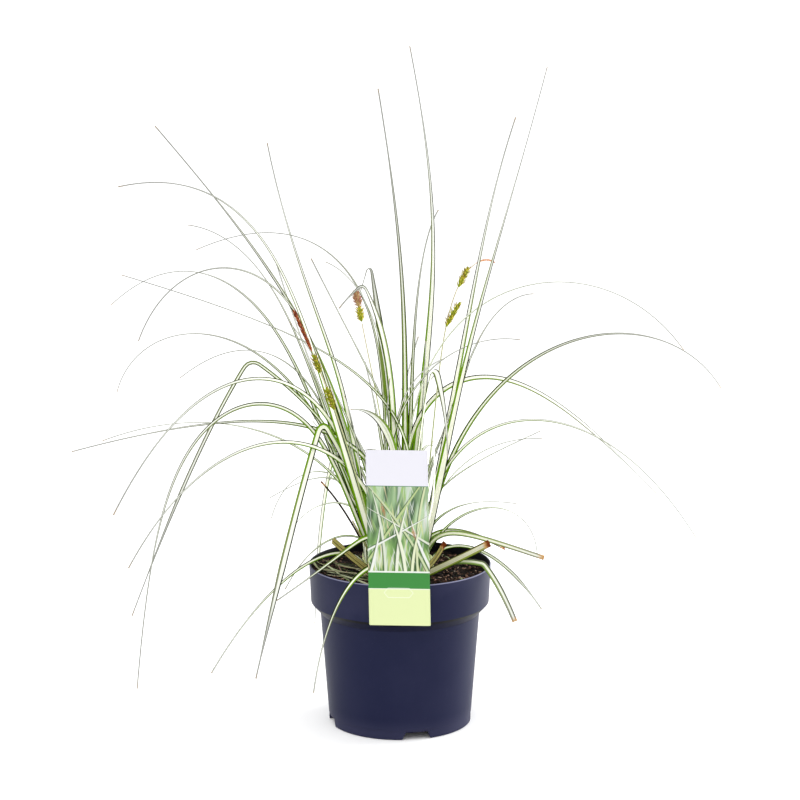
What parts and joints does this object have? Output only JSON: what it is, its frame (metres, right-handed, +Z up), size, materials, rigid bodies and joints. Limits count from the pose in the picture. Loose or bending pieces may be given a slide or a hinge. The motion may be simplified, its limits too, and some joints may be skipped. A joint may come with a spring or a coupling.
{
  "type": "potted variegated sedge",
  "caption": "Variegated sedge with long arching striped leaves and small flower spikes, growing in a round plastic nursery pot with a hanging label.",
  "frame": {"origin": "centre of the pot's foot, on the ground", "axes": "+Z up; the label hangs on the -Y side; +X is to the right as the label faces the viewer"},
  "size_m": [0.5918, 0.5272, 0.627],
  "materials": {
    "pot": "satin",
    "soil": "rough",
    "label": "satin",
    "litter": "dry",
    "leaf": "satin",
    "female_spike": "rough",
    "male_spike": "rough"
  },
  "bodies": {
    "root": {"pot": "pot", "soil": "soil", "label": "label", "litter": "litter", "tiller_a": "leaf", "tiller_b": "leaf", "tiller_c": "leaf", "tiller_d": "leaf", "tiller_e": "leaf", "tiller_f": "leaf", "tiller_g": "leaf", "tiller_h": "leaf", "tiller_i": "leaf", "tiller_j": "leaf", "tiller_k": "leaf", "tiller_l": "leaf", "tiller_m": "leaf", "tiller_n": "leaf", "tiller_o": "leaf", "tiller_p": "leaf", "spike_left_lower": "female_spike", "spike_left_upper": "female_spike", "spike_left_end": "male_spike", "spike_middle_lower": "female_spike", "spike_middle_end": "male_spike", "spike_right_lower": "female_spike", "spike_right_upper": "female_spike", "spike_right_end": "male_spike"}
  },
  "joints": []
}
